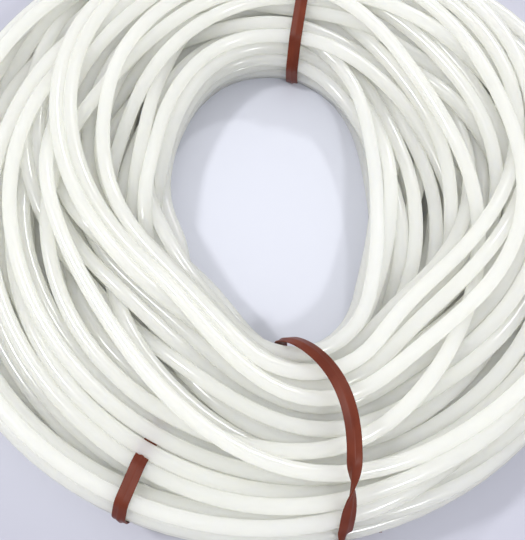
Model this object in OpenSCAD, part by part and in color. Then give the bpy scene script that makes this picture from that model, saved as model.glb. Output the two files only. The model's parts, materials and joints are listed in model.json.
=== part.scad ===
// Coil of silicone tubing: a bundle of turns round an oval hole, held by three flat straps,
// with the tube's two cut ends at the rear: the inner one leaves under the bundle, and the
// outer one lies on top of it. It lies flat, and +Z is up.
// The origin is on the floor, under the centre of the coil's round outline.

/* [Tubing] */
// Outside diameter of the tube
tube_od = 6; // [5:0.5:8]
// Bore of the tube
tube_id = 4; // [2:0.5:4.5]
// Length of the inner cut end, which lies on the floor, from inside the bundle to its mouth
inner_end_l = 105; // [90:5:150]
// Length of the outer cut end, from under the rear strap to its mouth
outer_end_l = 80; // [60:5:100]
// How far inboard of the rim's centre the outer cut end lies, at the rear strap
outer_end_in = 13.5; // [6:0.5:40]
// How steeply the outer cut end springs up
outer_end_rise = 6; // [5:0.5:10]

/* [Bundle] */
// Diameter over the outermost turns
coil_d = 297; // [245:1:360]
// Height of the highest turns above the floor
coil_h = 42; // [34:1:52]
// How far the top keeps rising inboard of the rounded rim
crown_rise = 2; // [1:0.5:4]
// Distance from the rim's centre in to the highest turns
crown_in = 20; // [14:1:30]
// Width of the hole, left to right
hole_w = 86; // [70:1:104]
// Length of the hole, front to rear
hole_l = 142; // [118:1:170]
// Radius of the hole's two long sides
hole_side_r = 107; // [90:1:160]
// How far the hole's centre lies in front of the outline's
hole_forward = 7; // [0:1:12]

/* [Straps] */
// Width of a strap
strap_w = 5.5; // [4:0.5:8]
// Thickness of a strap
strap_t = 1; // [0.6:0.1:1.4]
// How deep a strap presses into the bundle
strap_bite = 0.5; // [0.2:0.1:0.8]
// Rise of the slack front strap above the highest turns
slack = 13; // [8:1:20]
// Height of the left strap's upper run, which later turns cover
buried_h = 24; // [16:1:27]
// Length of a strap's twisted ends
twist_l = 18; // [12:1:26]
// Turns of twist in them
twist_turns = 1.5; // [1:0.5:3]
// Clearance round every strap and cut end
clear = 0.3; // [0.2:0.05:0.5]

/* [Hidden] */
$fn = 96;
far = 400;                              // beyond everything
overlap = 5;                            // how far cutting pieces run into each other

// the bundle's section: a rounded rim, and a flatter crown arc tangent to it
coil_r = coil_d / 2;
rim_r = (coil_h - crown_rise) / 2;
rim_s = coil_r - rim_r;
crown_arc = (crown_in * crown_in + 2 * crown_rise * rim_r + crown_rise * crown_rise) / (2 * crown_rise);
crown_s = rim_s - crown_in;
crown_z = coil_h - crown_arc;
// the inner wall bulges into the hole, most at this height
bulge_z = 0.4 * coil_h;
bulge_r = coil_h - bulge_z + 1;

// the hole's outline: two long side arcs, and two ends on one circle round its centre
side_x = hole_side_r - hole_w / 2;
HOLE_ARCS = [[0, hole_l / 2], [-side_x, hole_side_r], [side_x, hole_side_r]];

// each strap: the heading of its upright plane, how far that plane is shifted to its left,
// the rise of its slack, the height it is buried at, and where on the rim its ends twist
REAR = [80, 0, 0, far, 24];
FRONT = [-74.5, -13.5, slack, far, -16];
LEFT = [-112, 0, 0, buried_h, -16];
STRAPS = [REAR, FRONT, LEFT];

// where a strap's plane meets the hole's wall, measured along the plane
function along(arc, strap) = arc[0] * cos(strap[0]) - hole_forward * sin(strap[0]);
function across(arc, strap) = -arc[0] * sin(strap[0]) - hole_forward * cos(strap[0]) - strap[1];
function wall_at(strap) = min([for (arc = HOLE_ARCS)
    along(arc, strap) + sqrt(pow(arc[1], 2) - pow(across(arc, strap), 2))]);

// the inner end lies on the floor, over the rear strap and as far out as that strap allows
inner_end_z = strap_t + clear + tube_od / 2;
inner_end_out = sqrt(pow(rim_r - strap_bite - clear - tube_od / 2, 2) - pow(rim_r - inner_end_z, 2));
inner_end_y = (rim_s + inner_end_out) * sin(REAR[0]);

// the outer end starts just under the rear strap, sunk between the highest turns
outer_end_r = rim_s - outer_end_in;
outer_end_z = crown_z + sqrt(pow(crown_arc, 2) - pow(outer_end_r - crown_s, 2))
    - strap_bite - clear - tube_od / 2 - strap_w * tan(outer_end_rise) / 2;

// outline of the bundle in an upright plane, from the axis to the rim
module rim_profile(grow, floor_z) {
    intersection() {
        union() {
            intersection() {
                translate([crown_s, crown_z]) circle(crown_arc + grow);
                polygon([[0, 0], [rim_s, 0], [rim_s, rim_r],
                         [rim_s + crown_in, rim_r + crown_in * (rim_r - crown_z) / (rim_s - crown_s)],
                         [crown_s, far], [0, far]]);
            }
            translate([rim_s, rim_r]) circle(rim_r + grow);
        }
        translate([0, floor_z]) square([far, far]);
    }
}

// what lies on the hole's side of the bulging inner wall, from start out
module hole_profile(start, wall, grow) {
    difference() {
        translate([start, -overlap]) square([wall + bulge_r - start, far]);
        translate([wall + bulge_r, bulge_z]) circle(bulge_r + grow);
    }
}

module hole() {
    intersection_for(arc = HOLE_ARCS)
        translate([arc[0], -hole_forward, 0]) rotate_extrude() hole_profile(0, arc[1], 0);
}

// stands a flat shape, drawn from the axis out, in a strap's upright plane
module in_plane(strap, width) {
    rotate(strap[0]) translate([0, strap[1], 0]) rotate([90, 0, 0])
        linear_extrude(width, center = true) children();
}

// the loop that a strap follows round the bundle
module loop_profile(strap, grow, floor_z) {
    wall = wall_at(strap);
    intersection() {
        difference() {
            rim_profile(grow, floor_z);
            hole_profile(-overlap, wall, grow);
        }
        square([far, strap[3] + grow]);
    }
    // the slack arch, from the hole's wall over to the widest point of the rim
    if (strap[2] > 0) intersection() {
        half = (coil_r - wall) / 2;
        lift = coil_h + strap[2] - rim_r;
        arch_r = (half * half + lift * lift) / (2 * lift);
        translate([wall + half, rim_r + lift - arch_r]) circle(arch_r + grow);
        translate([0, rim_r]) square([far, far]);
    }
}

// the room that a strap takes in the bundle
module groove(strap) {
    in_plane(strap, strap_w + 2 * clear) difference() {
        translate([0, -overlap]) square([far, overlap + strap[3] + strap_t - strap_bite + clear]);
        loop_profile(strap, -strap_bite - clear, strap_t + clear);
    }
}

// stands an upright piece on each cut end's line, pointing at its mouth
module on_inner_line() {
    translate([0, inner_end_y, inner_end_z]) rotate([0, 90, 0]) children();
}

module on_outer_line() {
    rotate(REAR[0]) translate([outer_end_r, REAR[1], outer_end_z])
        rotate([outer_end_rise - 90, 0, 0]) children();
}

module tubing_coil() {
    room_d = tube_od + 2 * clear;
    color([0.9, 0.92, 0.9]) difference() {
        rotate_extrude() rim_profile(0, 0);
        hole();
        for (strap = STRAPS) groove(strap);
        on_inner_line() translate([0, 0, -clear]) cylinder(d = room_d, h = far);
        on_outer_line() translate([0, 0, -clear]) {
            cylinder(d = room_d, h = far);
            translate([-room_d / 2, -room_d, 0]) cube([room_d, room_d, far]);
        }
    }
}

module open_tube(length) {
    color([0.86, 0.9, 0.88]) difference() {
        cylinder(d = tube_od, h = length);
        translate([0, 0, -overlap]) cylinder(d = tube_id, h = length + 2 * overlap);
    }
}

module inner_end() on_inner_line() open_tube(inner_end_l);
module outer_end() on_outer_line() open_tube(outer_end_l);

module strap(strap) {
    pair_t = 2 * strap_t;
    pair_w = 0.6 * strap_w;
    stand_off = norm([pair_t, pair_w]) / 2 + clear;
    color([0.4, 0.16, 0.09]) {
        in_plane(strap, strap_w) difference() {
            loop_profile(strap, strap_t - strap_bite, 0);
            loop_profile(strap, -strap_bite, strap_t);
        }
        // the knuckle where the two ends meet, and the ends twisted together along the rim
        in_plane(strap, strap_w) translate([rim_s, rim_r]) rotate(strap[4])
            translate([rim_r, -pair_t / 2]) square([stand_off + pair_t / 2, pair_t]);
        rotate(strap[0]) translate([rim_s, strap[1], rim_r]) mirror([0, 1, 0])
            rotate([90, 0, 0]) rotate(strap[4])
            translate([rim_r + stand_off, 0, 0])
            linear_extrude(twist_l, twist = 360 * twist_turns, slices = 24, segments = 4)
            square([pair_w, pair_t], center = true);
    }
}

module strap_rear() strap(REAR);
module strap_front() strap(FRONT);
module strap_left() strap(LEFT);

tubing_coil();
outer_end();
inner_end();
strap_rear();
strap_front();
strap_left();
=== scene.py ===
import json
from math import atan2, cos, hypot, pi, radians, sin

import bmesh
import bpy
import numpy as np
from mathutils import Euler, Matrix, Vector


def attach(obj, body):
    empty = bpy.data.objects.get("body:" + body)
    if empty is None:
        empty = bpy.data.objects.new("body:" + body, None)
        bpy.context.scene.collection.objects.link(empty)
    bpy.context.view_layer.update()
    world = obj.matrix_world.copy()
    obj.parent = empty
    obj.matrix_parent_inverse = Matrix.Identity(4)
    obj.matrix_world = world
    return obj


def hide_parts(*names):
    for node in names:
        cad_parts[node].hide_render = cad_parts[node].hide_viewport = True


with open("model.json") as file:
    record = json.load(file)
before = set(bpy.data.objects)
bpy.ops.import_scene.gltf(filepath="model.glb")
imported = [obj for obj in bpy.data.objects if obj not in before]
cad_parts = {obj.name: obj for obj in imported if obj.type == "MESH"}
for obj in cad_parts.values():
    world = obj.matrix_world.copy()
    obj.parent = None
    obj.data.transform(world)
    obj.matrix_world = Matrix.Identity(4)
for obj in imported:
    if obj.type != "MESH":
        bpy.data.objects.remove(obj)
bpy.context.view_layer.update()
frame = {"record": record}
scene = bpy.context.scene
mounts = {mount["name"]: mount for mount in frame["record"]["mounts"]}
mm = 0.001

print("stage: camera")
camera = {
    "place": (-2.5, -155.4, 326.4),   # mm, close above the front of the coil
    "tilt": 21,                       # degrees from straight down
    "lens": 52,
    "sensor": 36,
    "nearest": 0.01,                  # metres
}


def addCamera():
    data = bpy.data.cameras.new("camera")
    data.lens = camera["lens"]
    data.sensor_width = camera["sensor"]
    data.clip_start = camera["nearest"]
    lookFrom = bpy.data.objects.new("camera", data)
    lookFrom.location = Vector(camera["place"]) * mm
    lookFrom.rotation_euler = Euler((radians(camera["tilt"]), 0, 0))
    scene.collection.objects.link(lookFrom)
    scene.camera = lookFrom


addCamera()

print("stage: winding the coil")
# all lengths are in mm, down to the meshes, and all headings are in degrees round the axis
tubing = {
    "outer": 6.0,          # diameter over the tube
    "bore": 4.0,
    "tightestBend": 30,    # radius
    "turns": 77,
    "sides": 12,           # faces round the tube
    "perTurn": 96,         # rings in one turn
}
bundle = {
    "rim": 148.5,          # radius over the outermost turns
    "rimRound": 20,        # radius of the rounded rim, and height of its centre
    "crest": 39.0,         # highest centre of a turn
    "bulgeRadius": 26.2,   # the hole's wall bulges into it
    "bulgeHeight": 16.8,   # and most at this height
    "bulgeReach": 20,      # the bulge's curve ends this far above and below
    "bulgeGive": 1,        # how far a turn may stand in from the wall
    "holeSoften": 4,       # degrees over which the hole's corners are rounded
    "strapLift": 1.3,      # how far the lowest turns are lifted by a strap
    "strapPress": 1.2,     # how far it presses down the highest
    "strapSpread": 8,      # degrees to each side that it does so
}
# how the turns come together: they are laid in a tall stack, and pressed down in many rounds
settling = {
    "seed": 5,
    "rounds": 420,
    "quickRounds": 150,
    "pressed": 0.85,       # share of the rounds with pressure, before the turns only push apart
    "tall": 8,             # height over the crest above which the stack is pressed fast
    "low": 0.5,            # and above which it is pressed slowly
    "fast": 0.982,         # share of its height that it keeps in a round
    "slow": 0.992,
    "sink": 0.04,          # how far it sinks in a round after that
    "pull": 0.03,          # share of the way back to its lane that a turn goes in a round
    "evening": 7,          # how often each ring is evened with its neighbours in a round
    "straighten": 2,       # and once more sideways, because the tube resists bending
    "evenness": 0.33,
    "level": 0.4,          # least height that turns are taken to differ by, the later one above
    "give": 0.9,           # share of an overlap that is pushed out at once
    "crowding": 0.6,       # how much weaker each push is where many turns meet
    "stiffness": 14,       # rings over which a sideways push spreads
    "stiffPush": 1.5,
    "liftSpread": 2,
    "ease": 5,             # smoothing of the settled turns
    "bendPasses": 80,      # how often bends that are too tight are eased
}
tiny = 1e-6
never = 1e9                # distance of what doesn't touch

# The hole that the turns leave: its radius from the axis by heading. It is pointed at the front,
# and slants at the front left, where turns cut across the corner.
holeRadii = {
    -15: 42, 0: 41.5, 20: 43.5, 35: 48, 50: 55.5, 67: 63.5, 82: 67.5, 102: 67.5, 115: 63,
    131: 55, 155: 47, 183: 43.5, 205: 41, 225: 42, 241: 47, 255: 56, 266: 68, 276: 80,
    285: 84, 293: 77, 304: 62, 318: 50.5, 332: 45,
}
# The bundle is pressed flat under each strap, at these headings.
strapHeadings = {"rear": 80, "front": -74.5, "left": -112}

# Where a turn runs between the hole (0) and the rim (1), at headings round the coil.
laneHeadings = [80, 105, 130, 160, 190, 225, 260, 285, 310, 335, 360, 390, 420]
laneFamilies = {
    "alongHole": [.03, .03, .03, .03, .05, .06, .06, .08, .05, .03, .03, .03, .03],
    "alongRim": [.86, .92, .96, .97, .95, .95, .97, .98, .98, .98, .97, .95, .90],
    "innerRear": [.10, .08, .06, .04, .08, .25, .45, .60, .76, .76, .62, .38, .20],
    "outerLeft": [.35, .42, .50, .58, .66, .68, .74, .84, .95, .97, .92, .75, .50],
    "flatLeft": [.45, .62, .72, .54, .34, .18, .14, .24, .50, .75, .74, .62, .50],
    "wideRight": [.06, .12, .20, .30, .42, .50, .55, .50, .42, .38, .32, .20, .08],
    "steepRight": [.35, .45, .50, .40, .25, .15, .10, .12, .30, .50, .60, .58, .42],
    "strayRight": [.80, .70, .50, .30, .20, .10, .05, .05, .22, .36, .62, .80, .85],
    "farRight": [.95, .90, .75, .50, .30, .20, .12, .09, .27, .44, .75, .92, .96],
    "crossFront": [.50, .55, .50, .40, .30, .30, .45, .78, .93, .97, .95, .85, .65],
}
# The families of the upper turns, from the lowest of them to the last one laid.
laidOrder = (
    "alongRim outerLeft alongHole innerRear outerLeft wideRight alongRim outerLeft steepRight "
    "innerRear alongHole outerLeft alongRim wideRight innerRear outerLeft flatLeft steepRight "
    "alongRim innerRear flatLeft outerLeft wideRight flatLeft alongRim outerLeft flatLeft "
    "innerRear steepRight flatLeft outerLeft flatLeft wideRight strayRight outerLeft crossFront "
    "farRight flatLeft"
).split()
# How the turns stray from that.
wandering = {
    "middle": 0.5,         # lane about which the lower turns drift
    # sizes of the drifts, their periods in turns, and their phases
    "drifts": [(0.36, 9.7, 0.3), (0.16, 4.3, 1.7), (0.10, 2.7, 4.0)],
    # waves in a turn, their size, the most that it changes by, that change's period and phase,
    # and the period and phase in which the waves go round the coil
    "waves": [(1, 0.15, 0.09, 7.1, 2.2, 13.3, 1.0), (2, 0.07, 0.05, 5.3, 0.7, 8.9, 2.0)],
    "lane": 0.09,          # most that an upper turn lies beside its family's lane
    "heading": 0.02,       # and how much that differs between headings
    "swap": 0.16,          # half the share of a turn over which one family gives way to the next
    "smoothing": 60,
    "leaveInner": 0.15,    # share of a turn from the straight inner end to its lane
    "joinOuter": 60,       # degrees from the last turn's lane to the straight outer end
}


def softStep(x):
    x = np.clip(x, 0, 1)
    return x * x * (3 - 2 * x)


def headingBump(degrees, centre, width):
    away = (degrees - centre + 180) % 360 - 180
    return np.exp(-(away / width) ** 2)


# distance from the axis to the hole's edge, with its corners rounded off
def holeRadius(angle):
    headings = sorted(holeRadii)
    radii = [holeRadii[heading] for heading in headings]
    offsets = np.linspace(-2, 2, 9)
    weights = np.exp(-offsets ** 2)
    heading = np.degrees(angle)[:, None] + offsets * bundle["holeSoften"]
    return (np.interp(heading, headings, radii, period=360) * weights).sum(axis=1) / weights.sum()


# lane of each ring: the lower turns wander, and the upper ones follow their families
def turnLanes(turn, angle):
    random = np.random.default_rng(settling["seed"])

    def wander(period, phase):
        return np.sin(2 * pi * turn / period + phase)

    lower = wandering["middle"]
    for size, period, phase in wandering["drifts"]:
        lower = lower + size * wander(period, phase)
    for waves, size, change, period, phase, circling, start in wandering["waves"]:
        size = size + change * wander(period, phase)
        lower += size * np.cos(waves * angle - 2 * pi * turn / circling - start)
    lanes = np.zeros_like(turn)
    covered = np.zeros_like(turn)
    firstUpper = tubing["turns"] - len(laidOrder)
    heading = (np.degrees(angle) - laneHeadings[0]) % 360 + laneHeadings[0]
    swap = wandering["swap"]
    for i, family in enumerate(laidOrder):
        beside = random.uniform(-wandering["lane"], wandering["lane"])
        stray = beside + wandering["heading"] * random.standard_normal(len(laneHeadings))
        lane = np.array(laneFamilies[family]) + stray
        along = np.interp(heading, laneHeadings + [laneHeadings[0] + 360], [*lane, lane[0]])
        share = softStep((turn - firstUpper - i + swap) / (2 * swap))
        if i < len(laidOrder) - 1:
            share = share - softStep((turn - firstUpper - i - 1 + swap) / (2 * swap))
        lanes += share * along
        covered += share
    return lanes + lower * (1 - covered)


# evens each value with its neighbours along the tube
def smoothAlong(values, times, strength=0.5):
    line = values.ravel()
    for _ in range(times):
        eased = line.copy()
        eased[1:-1] += strength * ((line[:-2] + line[2:]) / 2 - line[1:-1])
        line = eased
    return line.reshape(values.shape)


# moves the rings of too tight a bend towards their neighbours, apart from those that are held
def easeBends(line, held):
    nearLimit, neighbours, step = 0.85, 0.6, 0.5
    back, ahead = line[1:-1] - line[:-2], line[2:] - line[1:-1]
    chord = np.linalg.norm(line[2:] - line[:-2], axis=1)
    bend = 2 * np.linalg.norm(np.cross(back, ahead), axis=1)
    bend /= np.linalg.norm(back, axis=1) * np.linalg.norm(ahead, axis=1) * chord
    excess = np.clip(bend * tubing["tightestBend"] - nearLimit, 0, 1)
    excess = np.maximum(excess, neighbours * np.maximum(np.roll(excess, 1), np.roll(excess, -1)))
    excess[held[1:-1]] = 0
    eased = line.copy()
    eased[1:-1] += step * excess[:, None] * (ahead - back) / 2
    return eased


# Where every ring should go, from the inner mouth to the outer one: its angle, its turn, its
# distance from the axis, and which rings the two straight ends hold, with their places.
def planRings(rows):
    perTurn = tubing["perTurn"]
    step = 2 * pi / perTurn
    innerMouth = np.array(mounts["inner_end_bore"]["pos_m"]) / mm
    outerMouth = np.array(mounts["outer_end_bore"]["pos_m"]) / mm
    outerWay = np.array(mounts["outer_end_bore"]["axis"], float)
    outerStart = outerMouth - outerWay * mounts["outer_end_bore"]["dims"]["length_mm"]

    # the straight inner end comes first, then the turns, and then the straight outer end
    innerRings = int((pi / 2 - atan2(innerMouth[1], innerMouth[0])) / step)
    number = np.arange(rows * perTurn)
    angle = pi / 2 + (number - innerRings) * step
    turn = (number - innerRings) / perTurn
    outerFrom = 2 * pi * tubing["turns"] + atan2(outerStart[1], outerStart[0])
    outerTo = 2 * pi * tubing["turns"] + atan2(outerMouth[1], outerMouth[0])
    used = angle < outerTo - 0.3 * step   # the mouth itself comes a little after the last ring
    onInner = angle < pi / 2 + 0.01       # with the ring that lies square to the end
    onOuter = used & (angle > outerFrom)

    # the inner end lies along X, and each heading meets the outer end's line at its own reach
    innerR = innerMouth[1] / np.sin(np.clip(angle, 0.3, pi / 2))
    x, y = np.cos(angle), np.sin(angle)
    reach = (outerStart[0] * y - outerStart[1] * x) / (outerWay[1] * x - outerWay[0] * y)
    outerR = np.hypot(outerStart[0] + reach * outerWay[0], outerStart[1] + reach * outerWay[1])
    outerZ = outerStart[2] + reach * outerWay[2]

    hole = holeRadius(angle) + tubing["outer"] / 2
    rim = bundle["rim"] - tubing["outer"] / 2
    lanes = np.clip(smoothAlong(turnLanes(turn, angle), wandering["smoothing"]), 0, 1)
    wanted = hole + (rim - hole) * lanes
    wanted = np.where(onInner, innerR, wanted)
    wanted = np.where(onOuter, outerR, wanted)
    ease = softStep(turn / wandering["leaveInner"])
    wanted = wanted * ease + innerR * (1 - ease)
    ease = softStep((outerFrom - angle) / radians(wandering["joinOuter"]))
    startR = hypot(outerStart[0], outerStart[1])
    wanted = np.where(onOuter, outerR, wanted * ease + startR * (1 - ease))
    heldR = np.where(onInner, innerR, outerR)
    heldZ = np.where(onInner, innerMouth[2], outerZ)
    return angle, turn, used, wanted, onInner | onOuter, heldR, heldZ, innerMouth, outerMouth


# Pushes overlapping turns apart. Rows are turns, and columns are headings. A stiff tube moves
# sideways over a long stretch, and gives way upwards where others cross it.
def pushApart(r, z, squeeze, idle):
    rows, perTurn = r.shape
    width = tubing["outer"]
    same = np.arange(rows)
    rt, zt = r.T, z.T
    dr = rt[:, :, None] - rt[:, None, :]
    dz = zt[:, :, None] - zt[:, None, :]
    apart = dr * dr * squeeze + dz * dz
    apart[:, same, same] = never
    apart[idle.T[:, :, None] | idle.T[:, None, :]] = never
    at, one, other = np.nonzero(apart < width * width)
    distance = np.sqrt(apart[at, one, other]) + tiny
    push = (width - distance) / distance / 2
    sideways = dr[at, one, other]
    upwards = dz[at, one, other]
    level = settling["level"]
    upwards = np.where(np.abs(upwards) < level, np.where(one > other, level, -level), upwards)
    place = at * rows + one
    places = perTurn * rows
    crowd = np.bincount(place, minlength=places) ** settling["crowding"]
    share = settling["give"] / np.maximum(1, crowd)
    outwards = (np.bincount(place, sideways * push, places) * share).reshape(perTurn, rows).T
    lift = (np.bincount(place, upwards * push, places) * share).reshape(perTurn, rows).T
    r = r + settling["stiffPush"] * smoothAlong(outwards, settling["stiffness"])
    z = z + smoothAlong(lift, settling["liftSpread"])
    return r, z


# keeps the turns over the floor, in the rounded rim, out of the hole and under the crest
def keepInside(r, z, hole, floorZ, crest):
    rimZ = bundle["rimRound"]
    rimR = bundle["rim"] - rimZ
    rimCurve = rimZ - tubing["outer"] / 2
    bulge = bundle["bulgeRadius"]
    z = np.maximum(z, floorZ)
    outR, outZ = np.maximum(r - rimR, 0), z - rimZ
    far = np.hypot(outR, outZ)
    inside = np.where((r > rimR) & (far > rimCurve), rimCurve / np.maximum(far, tiny), 1)
    z = rimZ + outZ * inside
    r = np.where(r > rimR, rimR + outR * inside, r)
    depth = np.minimum(np.abs(z - bundle["bulgeHeight"]), bundle["bulgeReach"])
    r = np.maximum(r, hole + bulge - np.sqrt(bulge ** 2 - depth ** 2) - bundle["bulgeGive"])
    z = np.where(z > crest, (z + crest) / 2, z)
    return r, z


# lays all turns in a tall stack, presses them together, and gives the tube's centreline
def windCoil():
    perTurn = tubing["perTurn"]
    step = 2 * pi / perTurn
    width = tubing["outer"]
    rows = tubing["turns"] + 2
    angle, turn, used, wanted, held, heldR, heldZ, innerMouth, outerMouth = planRings(rows)

    def grid(values):
        return values.reshape(rows, perTurn)

    degrees = np.degrees(angle[:perTurn]) % 360
    spread = bundle["strapSpread"]
    pinch = sum(headingBump(degrees, heading, spread) for heading in strapHeadings.values())
    floorZ = width / 2 + bundle["strapLift"] * np.minimum(1, pinch)
    crest = bundle["crest"] - bundle["strapPress"] * pinch
    hole, wanted = grid(holeRadius(angle) + width / 2), grid(wanted)
    pinned, pinnedR, pinnedZ = grid(held), grid(heldR), grid(heldZ)
    idle = ~grid(used)
    r = wanted.copy()
    z = grid(width / 2 + np.maximum(turn, 0) * width).copy()
    evening, evenness = settling["evening"], settling["evenness"]
    rounds = settling["rounds"]
    for count in range(rounds):
        pressed = count < rounds * settling["pressed"]
        if z[~idle].max() > bundle["crest"] + settling["tall"]:
            z = floorZ + (z - floorZ) * settling["fast"]
        elif z[~pinned & ~idle].max() > bundle["crest"] + settling["low"]:
            z = floorZ + (z - floorZ) * settling["slow"]
        else:
            z = z - settling["sink"] * pressed
        r = r + settling["pull"] * (wanted - r) * pressed
        z = smoothAlong(z, evening, evenness)
        r = wanted + smoothAlong(r - wanted, evening, evenness)
        r = smoothAlong(r, settling["straighten"], evenness)
        # turns that slant across their heading are nearer to each other than they look there
        slope = (grid(np.gradient(r.ravel())) / (r * step)).T
        slant = (slope[:, :, None] + slope[:, None, :]) / 2
        squeeze = 1 / (1 + slant * slant)
        for _ in range(2):
            r = np.where(pinned, pinnedR, r)
            z = np.where(pinned, pinnedZ, z)
            r, z = pushApart(r, z, squeeze, idle)
            r, z = keepInside(r, z, hole, floorZ, crest)
    r = np.where(held, heldR, smoothAlong(r.ravel(), settling["ease"]))
    z = np.where(held, heldZ, smoothAlong(z.ravel(), settling["ease"] // 2))
    line = np.stack([r * np.cos(angle), r * np.sin(angle), z], axis=1)[used]
    for _ in range(settling["bendPasses"]):
        line = easeBends(line, held[used])
    return np.concatenate([[innerMouth], line, [outerMouth]])


centreline = windCoil()

print("stage: materials")


def newMaterial(name):
    material = bpy.data.materials.new(name)
    material.use_nodes = True
    nodes = material.node_tree.nodes
    links = material.node_tree.links
    return material, nodes, links, nodes["Principled BSDF"]


# a blend from one colour to another, as two (place, colour) stops
def addRamp(nodes, links, source, stops):
    ramp = nodes.new("ShaderNodeValToRGB")
    for element, (place, colour) in zip(ramp.color_ramp.elements, stops):
        element.position = place
        element.color = colour
    links.new(source, ramp.inputs["Fac"])
    return ramp


silicone = {
    "clear": (0.985, 0.987, 0.952, 1),
    "cloudy": (0.955, 0.962, 0.91, 1),
    "clouds": 9,                     # in a metre
    "cloudDetail": 2,
    "clearFrom": (0.35, 0.65),       # of the clouds' strength, from cloudy to clear
    "glow": (1.0, 1.0, 0.974, 1),    # tint of the light that comes through the wall
    "throughput": 0.62,              # share of the light that does
    "roughness": 0.17,
    "refraction": 1.6,
    "gloss": 1.0,
    "scatterDepth": 0.010,           # metres
    "scatterTint": (1.0, 0.96, 0.8),
    "waves": 90,                     # faint waves from the extruder, in a metre
    "waveDetail": 3,
    "waveHeight": 0.0002,
    "waveStrength": 0.1,
}


# a skin's fine relief, in metres
def addBump(nodes, links, source, skin, strength, height):
    bump = nodes.new("ShaderNodeBump")
    bump.inputs["Strength"].default_value = strength
    bump.inputs["Distance"].default_value = height
    links.new(source, bump.inputs["Height"])
    links.new(bump.outputs["Normal"], skin.inputs["Normal"])


# noise on the piece's own coordinates
def addNoise(nodes, links, scale, detail):
    place = nodes.new("ShaderNodeTexCoord")
    noise = nodes.new("ShaderNodeTexNoise")
    noise.inputs["Scale"].default_value = scale
    noise.inputs["Detail"].default_value = detail
    links.new(place.outputs["Object"], noise.inputs["Vector"])
    return noise.outputs["Fac"]


# milky silicone: light spreads in it, and its colour drifts slowly from place to place
def makeSilicone():
    material, nodes, links, skin = newMaterial("milky_silicone")
    clouds = addNoise(nodes, links, silicone["clouds"], silicone["cloudDetail"])
    cloudy, clear = silicone["clearFrom"]
    stops = [(cloudy, silicone["cloudy"]), (clear, silicone["clear"])]
    tint = addRamp(nodes, links, clouds, stops)
    links.new(tint.outputs["Color"], skin.inputs["Base Color"])
    skin.inputs["Subsurface Weight"].default_value = 1.0
    skin.inputs["Subsurface Radius"].default_value = silicone["scatterTint"]
    skin.inputs["Subsurface Scale"].default_value = silicone["scatterDepth"]
    # less than half of the mix below is this skin, so its gloss is high
    skin.inputs["Roughness"].default_value = silicone["roughness"]
    skin.inputs["IOR"].default_value = silicone["refraction"]
    skin.inputs["Specular IOR Level"].default_value = silicone["gloss"]
    waves = addNoise(nodes, links, silicone["waves"], silicone["waveDetail"])
    addBump(nodes, links, waves, skin, silicone["waveStrength"], silicone["waveHeight"])
    # the wall lets part of the light through to the turns below
    through = nodes.new("ShaderNodeBsdfTranslucent")
    through.inputs["Color"].default_value = silicone["glow"]
    both = nodes.new("ShaderNodeMixShader")
    both.inputs["Fac"].default_value = silicone["throughput"]
    links.new(skin.outputs["BSDF"], both.inputs[1])
    links.new(through.outputs["BSDF"], both.inputs[2])
    links.new(both.outputs["Shader"], nodes["Material Output"].inputs["Surface"])
    return material


bandPlastic = {
    "brown": (0.105, 0.015, 0.004, 1),
    "worn": (0.155, 0.028, 0.010, 1),
    "wornFrom": (0.4, 0.72),   # of the rubbing's strength, from brown to worn
    "rubs": 90,                # in a metre
    "rubDetail": 5,
    "rubDepth": 0.0002,        # metres
    "rubStrength": 0.2,
    "roughness": 0.45,
    "gloss": 0.25,
}


# brown band: satin plastic, a little paler in patches where it has been rubbed
def makeBandPlastic():
    material, nodes, links, skin = newMaterial("brown_band")
    rub = addNoise(nodes, links, bandPlastic["rubs"], bandPlastic["rubDetail"])
    brown, worn = bandPlastic["wornFrom"]
    stops = [(brown, bandPlastic["brown"]), (worn, bandPlastic["worn"])]
    tint = addRamp(nodes, links, rub, stops)
    links.new(tint.outputs["Color"], skin.inputs["Base Color"])
    skin.inputs["Roughness"].default_value = bandPlastic["roughness"]
    skin.inputs["Specular IOR Level"].default_value = bandPlastic["gloss"]
    addBump(nodes, links, rub, skin, bandPlastic["rubStrength"], bandPlastic["rubDepth"])
    return material


siliconeSkin = makeSilicone()
bandSkin = makeBandPlastic()

print("stage: tube skin")


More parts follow.
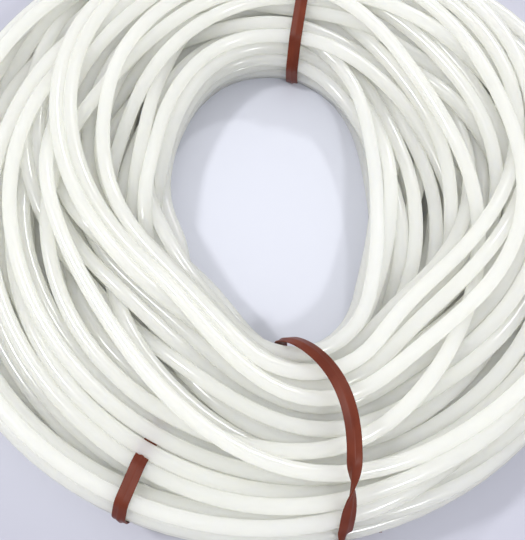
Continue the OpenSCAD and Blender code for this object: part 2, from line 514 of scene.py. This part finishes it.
# Geometry Nodes tree that sweeps a round wall along the object's own curve
def makeTubeTree(name):
    tree = bpy.data.node_groups.new(name, "GeometryNodeTree")
    face = tree.interface
    face.new_socket("Geometry", in_out="INPUT", socket_type="NodeSocketGeometry")
    radius = face.new_socket("Radius", in_out="INPUT", socket_type="NodeSocketFloat")
    sides = face.new_socket("Sides", in_out="INPUT", socket_type="NodeSocketInt")
    finish = face.new_socket("Finish", in_out="INPUT", socket_type="NodeSocketMaterial")
    face.new_socket("Geometry", in_out="OUTPUT", socket_type="NodeSocketGeometry")
    nodes, links = tree.nodes, tree.links
    given = nodes.new("NodeGroupInput")
    upright = nodes.new("GeometryNodeSetCurveNormal")
    upright.mode = "Z_UP"
    outline = nodes.new("GeometryNodeCurvePrimitiveCircle")
    sweep = nodes.new("GeometryNodeCurveToMesh")
    smooth = nodes.new("GeometryNodeSetShadeSmooth")
    real = nodes.new("GeometryNodeRealizeInstances")
    paint = nodes.new("GeometryNodeSetMaterial")
    result = nodes.new("NodeGroupOutput")
    links.new(given.outputs["Geometry"], upright.inputs["Curve"])
    links.new(given.outputs["Radius"], outline.inputs["Radius"])
    links.new(given.outputs["Sides"], outline.inputs["Resolution"])
    links.new(upright.outputs["Curve"], sweep.inputs["Curve"])
    links.new(outline.outputs["Curve"], sweep.inputs["Profile Curve"])
    links.new(sweep.outputs["Mesh"], smooth.inputs["Geometry"])
    links.new(smooth.outputs["Geometry"], real.inputs["Geometry"])
    links.new(real.outputs["Geometry"], paint.inputs["Geometry"])
    links.new(given.outputs["Finish"], paint.inputs["Material"])
    links.new(paint.outputs["Geometry"], result.inputs["Geometry"])
    sockets = {"radius": radius, "sides": sides, "finish": finish}
    return tree, {name: socket.identifier for name, socket in sockets.items()}


tubeTree, tubeSockets = makeTubeTree("tube_sweep")


# a plain mesh swept along points given in mm
def sweepTube(name, points, radius):
    curve = bpy.data.curves.new(name + "_line", "CURVE")
    curve.dimensions = "3D"
    spline = curve.splines.new("POLY")
    spline.points.add(len(points) - 1)
    coordinates = np.ones((len(points), 4))
    coordinates[:, :3] = np.asarray(points) * mm
    spline.points.foreach_set("co", coordinates.ravel())
    line = bpy.data.objects.new(name + "_line", curve)
    scene.collection.objects.link(line)
    swept = line.modifiers.new("sweep", "NODES")
    swept.node_group = tubeTree
    swept[tubeSockets["radius"]] = radius * mm
    swept[tubeSockets["sides"]] = tubing["sides"]
    swept[tubeSockets["finish"]] = siliconeSkin
    bpy.context.view_layer.update()
    evaluated = line.evaluated_get(bpy.context.evaluated_depsgraph_get())
    mesh = bpy.data.meshes.new_from_object(evaluated)
    bpy.data.objects.remove(line)
    return mesh


def loopCentre(loop):
    points = [vert.co for edge in loop for vert in edge.verts]
    return sum(points, Vector()) / len(points)


# the open edges of a mesh, joined into closed rings
def openLoops(shape):
    left = {edge for edge in shape.edges if edge.is_boundary}
    loops = []
    while left:
        edge = min(left, key=lambda candidate: candidate.index)
        loop, reach = [], [edge]
        while reach:
            edge = reach.pop()
            if edge not in left:
                continue
            left.remove(edge)
            loop.append(edge)
            reach += [other for vert in edge.verts for other in vert.link_edges if other in left]
        loops.append(loop)
    return loops


# the tube's wall: its outside all the way, its bore as deep as the straight ends, and two cut faces
def makeTubing():
    outside = sweepTube("outside", centreline, tubing["outer"] / 2)
    shape = bmesh.new()
    shape.from_mesh(outside)
    for mouth, mount in ((centreline[0], "inner_end_bore"), (centreline[-1], "outer_end_bore")):
        way = np.array(mounts[mount]["axis"], float)
        depth = mounts[mount]["dims"]["length_mm"]
        points = [mouth, mouth - way * depth / 2, mouth - way * depth]
        inner = sweepTube("bore", points, tubing["bore"] / 2)
        shape.from_mesh(inner)
        bpy.data.meshes.remove(inner)
    bpy.data.meshes.remove(outside)
    bmesh.ops.recalc_face_normals(shape, faces=shape.faces)
    # the bores face inwards, and each has a floor at its far end
    shape.verts.ensure_lookup_table()
    loops = openLoops(shape)
    for mouth in (centreline[0], centreline[-1]):
        middle = Vector(mouth) * mm
        near = [loop for loop in loops if (loopCentre(loop) - middle).length < tubing["bore"] / 2 * mm]
        bmesh.ops.bridge_loops(shape, edges=[edge for loop in near for edge in loop])
    for loop in openLoops(shape):
        bmesh.ops.edgeloop_fill(shape, edges=loop)
    bmesh.ops.recalc_face_normals(shape, faces=shape.faces)
    for face in shape.faces:
        face.smooth = len(face.verts) == 4
    mesh = bpy.data.meshes.new("silicone_tubing")
    shape.to_mesh(mesh)
    shape.free()
    mesh.materials.clear()
    mesh.materials.append(siliconeSkin)
    piece = bpy.data.objects.new("silicone_tubing", mesh)
    scene.collection.objects.link(piece)
    return piece


tubingPiece = makeTubing()
print("stage: tubing has", len(tubingPiece.data.polygons), "faces")

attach(tubingPiece, "root")
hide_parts("tubing_coil", "inner_end", "outer_end")

print("stage: straps")
band = {
    "width": 5.5,
    "edge": 0.7,          # thickness of the flat wings
    "core": 1.7,          # thickness over the wire in the middle
    "coreWidth": 1.5,
    "points": 220,        # round its loop
    "swirl": 1.5,         # turns in the twisted ends
    "endLength": 18,
    "endWidth": 3.4,
    "endThinning": 0.8,
    "endTuck": 1.5,       # how far the ends start inside the loop's own width
    "endRings": 46,
    "standOff": 0.3,      # from the band to its twisted ends
    "apart": 0.55,        # from the twist's middle to each end, and how far the tips splay
    "splay": 1.5,
    "splayLength": 6,
    "blend": 12,          # height over which a slack band leaves the rim
    "leanOut": 0.85,      # under 1, it leans the most nearer the hole than the rim
    "turnFrom": 0.64,     # share of the way to the rim from which it turns over
    "turnOver": 0.28,     # and over which it does
}
tightBand = {
    "shift": 0,           # of its upright plane, to the left of its heading
    "knot": 24,           # where on the rounded rim its ends are twisted, in degrees
    "slack": 0,           # how far it stands above the turns
    "sway": 0,            # and leans sideways there
    "halfTurns": 0,       # it makes on its way down
    "inboard": 0,         # how far from the hole it passes down between the turns
    "tallest": 99,        # highest turn that it holds
    "outboard": 0,        # distance from the axis past which it holds the higher ones too
}
bandPlanes = {
    "rear": tightBand,
    "front": {**tightBand, "shift": -13.5, "knot": -38, "slack": 13, "sway": 13, "halfTurns": 1},
    "left": {**tightBand, "knot": -44, "inboard": 16, "tallest": 9, "outboard": 127},
}


# the outline of a flat wire-cored band, as (across, outwards) pairs
def bandOutline(width):
    half, core = width / 2, band["coreWidth"] / 2
    edge, top = band["edge"] / 2, band["core"] / 2
    upper = [(half, edge * 0.5), (half - 0.25, edge)]
    upper += [(core + 0.3, edge), (core * 0.7, top * 0.85), (0, top)]
    upper += [(-x, z) for x, z in reversed(upper[:-1])]
    return upper + [(x, -z) for x, z in reversed(upper)]


# where the turns that a band holds cross its plane, as (distance from the axis, height) pairs
def sectionOf(heading, plane):
    along = centreline[:, 0] * cos(heading) + centreline[:, 1] * sin(heading)
    off = centreline[:, 1] * cos(heading) - centreline[:, 0] * sin(heading) - plane["shift"]
    crossing = (off[:-1] * off[1:] <= 0) & (along[:-1] > 0)
    share = off[:-1] / (off[:-1] - off[1:] + 1e-9)   # where nothing crosses, it isn't used
    s = along[:-1] + share * (along[1:] - along[:-1])
    z = centreline[:-1, 2] + share * (centreline[1:, 2] - centreline[:-1, 2])
    found = np.stack([s, z], axis=1)[crossing & ((z < plane["tallest"]) | (s > plane["outboard"]))]
    return found[found[:, 0] >= found[:, 0].min() + plane["inboard"]]


# the tight loop round a set of points, anticlockwise
def hullOf(points):
    points = sorted(map(tuple, points))

    def half(ordered):
        chain = []
        for point in ordered:
            while len(chain) > 1:
                (ax, ay), (bx, by) = chain[-2:]
                if (bx - ax) * (point[1] - ay) - (by - ay) * (point[0] - ax) > 0:
                    break
                chain.pop()
            chain.append(point)
        return chain[:-1]

    return np.array(half(points) + half(points[::-1]))


# a closed loop with evenly spaced, softened points
def evenLoop(loop, count):
    closed = np.concatenate([loop, loop[:1]])
    length = np.concatenate([[0], np.cumsum(np.linalg.norm(np.diff(closed, axis=0), axis=1))])
    at = np.linspace(0, length[-1], count, endpoint=False)
    points = np.stack([np.interp(at, length, closed[:, i]) for i in range(closed.shape[1])], axis=1)
    for _ in range(3):
        points = points / 2 + (np.roll(points, 1, axis=0) + np.roll(points, -1, axis=0)) / 4
    return points


# joins rings of points into a skin; open strips get end faces
def skinOf(shape, rings, closed):
    rows = [[shape.verts.new(Vector(point) * mm) for point in ring] for ring in rings]
    around = len(rows[0])
    for i in range(len(rows) if closed else len(rows) - 1):
        here, there = rows[i], rows[(i + 1) % len(rows)]
        for j in range(around):
            after = (j + 1) % around
            shape.faces.new((here[j], here[after], there[after], there[j])).smooth = True
    if not closed:
        shape.faces.new(rows[0])
        shape.faces.new(rows[-1][::-1])


# The loop that a band follows in its plane: tight round the turns, and in an arch over them where
# it is slack. Each point also has its share of the way from the hole to the rim.
def bandLoop(heading, plane):
    section = sectionOf(heading, plane)
    rounds = np.linspace(0, 2 * pi, 24, endpoint=False)
    reach = tubing["outer"] / 2 + band["core"] / 2
    circles = np.stack([np.cos(rounds), np.sin(rounds)], axis=1) * reach
    points = (section[:, None, :] + circles[None]).reshape(-1, 2)
    points[:, 1] = np.maximum(points[:, 1], band["core"] / 2)
    inner, outer = points[:, 0].min(), points[:, 0].max()
    if plane["slack"]:
        rimZ = bundle["rimRound"]
        half = (outer - inner) / 2
        lift = points[:, 1].max() + plane["slack"] - 1 - rimZ
        bend = (half ** 2 + lift ** 2) / (2 * lift)
        sweep = np.linspace(0, pi, 60)
        archS = inner + half + bend * np.cos(sweep)
        archZ = rimZ + lift - bend + bend * np.sin(sweep)
        arch = np.stack([archS, archZ], axis=1)
        points = np.concatenate([points, arch[archZ > rimZ]])
    loop = evenLoop(hullOf(points), band["points"])
    share = np.clip((loop[:, 0] - inner) / (outer - inner), 0, 1)
    return loop, share


# two ends twisted together along the rim, from base sideways
def twistEnds(shape, base, sideways, outwards, upwards):
    slim = np.array(bandOutline(band["endWidth"])) * [1, band["endThinning"]]
    splayFrom = band["endLength"] - band["splayLength"]
    for side in (1, -1):
        rings = []
        for travel in np.linspace(-band["endTuck"], band["endLength"], band["endRings"]):
            spin = 2 * pi * band["swirl"] * travel / band["endLength"]
            splay = band["splay"] * softStep((travel - splayFrom) / band["splayLength"]) ** 2
            wide = upwards * cos(spin) + outwards * sin(spin)
            thick = outwards * cos(spin) - upwards * sin(spin)
            centre = base + sideways * travel + thick * side * (band["apart"] + splay)
            rings.append(centre + slim[:, :1] * wide + slim[:, 1:] * thick)
        skinOf(shape, rings, False)


def makeBand(name, heading, plane):
    loop, share = bandLoop(heading, plane)
    outward = np.array([cos(heading), sin(heading), 0])
    sideways = np.array([-sin(heading), cos(heading), 0])
    up = np.array([0, 0, 1.0])
    ahead = np.roll(loop, -1, axis=0) - np.roll(loop, 1, axis=0)
    ahead /= np.linalg.norm(ahead, axis=1)[:, None]
    high = softStep((loop[:, 1] - bundle["rimRound"]) / band["blend"])
    sway = plane["sway"] * np.sin(pi * share ** band["leanOut"]) * high
    line = outward * loop[:, :1] + up * loop[:, 1:] + sideways * (plane["shift"] + sway[:, None])
    normal = outward * ahead[:, 1:] - up * ahead[:, :1]
    tangent = np.roll(line, -1, axis=0) - np.roll(line, 1, axis=0)
    tangent /= np.linalg.norm(tangent, axis=1)[:, None]
    normal -= tangent * (normal * tangent).sum(axis=1)[:, None]
    normal /= np.linalg.norm(normal, axis=1)[:, None]
    across = np.cross(tangent, normal)
    # a slack one turns over on its way down to the rim
    turning = softStep((share - band["turnFrom"]) / band["turnOver"])
    roll = (plane["halfTurns"] * pi * turning * high)[:, None]
    flat = across * np.cos(roll) + normal * np.sin(roll)
    normal = normal * np.cos(roll) - across * np.sin(roll)
    outline = np.array(bandOutline(band["width"]))
    rings = line[:, None] + flat[:, None] * outline[None, :, :1]
    rings = rings + normal[:, None] * outline[None, :, 1:]
    shape = bmesh.new()
    skinOf(shape, rings, True)
    # its ends leave the loop on the rounded rim, where the knot is
    knot = radians(plane["knot"])
    fromRim = loop - np.array([bundle["rim"] - bundle["rimRound"], bundle["rimRound"]])
    turned = np.abs((np.arctan2(fromRim[:, 1], fromRim[:, 0]) - knot + pi) % (2 * pi) - pi)
    start = int(np.argmin(np.where(share < 0.5, never, turned)))
    base = line[start] + normal[start] * (band["core"] + band["standOff"])
    twistEnds(shape, base, sideways, normal[start], tangent[start])
    bmesh.ops.recalc_face_normals(shape, faces=shape.faces)
    mesh = bpy.data.meshes.new(name)
    shape.to_mesh(mesh)
    shape.free()
    mesh.materials.append(bandSkin)
    piece = bpy.data.objects.new(name, mesh)
    scene.collection.objects.link(piece)
    return piece


for side, plane in bandPlanes.items():
    piece = makeBand(side + "_band", radians(strapHeadings[side]), plane)
    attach(piece, "root")
    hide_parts("strap_" + side)
    print("stage:", piece.name, "has", len(piece.data.polygons), "faces")

print("stage: floor and light")
studio = {
    "floorSize": 3.0,                       # metres from its middle to each side
    "floorColour": (0.60, 0.615, 0.69, 1),
    # painted shade: the floor's colour far from the coil, darker to stand in for the light falling off
    # towards the corners
    "floorPaintedShade": (0.43, 0.43, 0.51, 1),
    "floorPaintedShadeSpan": (0.10, 0.19),              # metres from the middle, from one to the other
    "floorRoughness": 0.55,
    "worldColour": (0.98, 0.985, 1.0, 1),
    "worldStrength": 0.84,
}
# area lights that face the middle of the floor: place and size in metres, and power
lamps = {
    "key": {"place": (-0.50, 0.02, 0.74), "size": 0.10, "power": 2.7},
    "glint": {"place": (0.30, 0.60, 0.70), "size": 0.08, "power": 1.8},
    "right": {"place": (0.25, -0.40, 0.60), "size": 0.07, "power": 1.4},
}


def addLight(name, lamp):
    data = bpy.data.lights.new(name, "AREA")
    data.size = lamp["size"]
    data.energy = lamp["power"]
    light = bpy.data.objects.new(name, data)
    light.location = lamp["place"]
    light.rotation_euler = (-Vector(lamp["place"])).to_track_quat("-Z", "Y").to_euler()
    scene.collection.objects.link(light)


# a pale floor with painted shade: its colour darkens away from the coil, standing in for the light
# falling off towards the corners
def addFloor():
    mesh = bpy.data.meshes.new("floor")
    half = studio["floorSize"]
    corners = [(-half, -half, 0), (half, -half, 0), (half, half, 0), (-half, half, 0)]
    mesh.from_pydata(corners, [], [(0, 1, 2, 3)])
    floor = bpy.data.objects.new("floor", mesh)
    scene.collection.objects.link(floor)
    material, nodes, links, skin = newMaterial("pale_floor")
    place = nodes.new("ShaderNodeTexCoord")
    away = nodes.new("ShaderNodeVectorMath")
    away.operation = "LENGTH"
    links.new(place.outputs["Object"], away.inputs[0])
    # painted shade: the colour ramps from the floor's own colour near the middle to a darker one
    # further out
    near, far = studio["floorPaintedShadeSpan"]
    stops = [(near, studio["floorColour"]), (far, studio["floorPaintedShade"])]
    shade = addRamp(nodes, links, away.outputs["Value"], stops)
    links.new(shade.outputs["Color"], skin.inputs["Base Color"])
    skin.inputs["Roughness"].default_value = studio["floorRoughness"]
    mesh.materials.append(material)


def addStudio():
    addFloor()
    world = bpy.data.worlds.new("studio")
    world.use_nodes = True
    background = world.node_tree.nodes["Background"]
    background.inputs["Color"].default_value = studio["worldColour"]
    background.inputs["Strength"].default_value = studio["worldStrength"]
    scene.world = world
    for name, lamp in lamps.items():
        addLight(name, lamp)
    scene.view_settings.view_transform = "Standard"


addStudio()
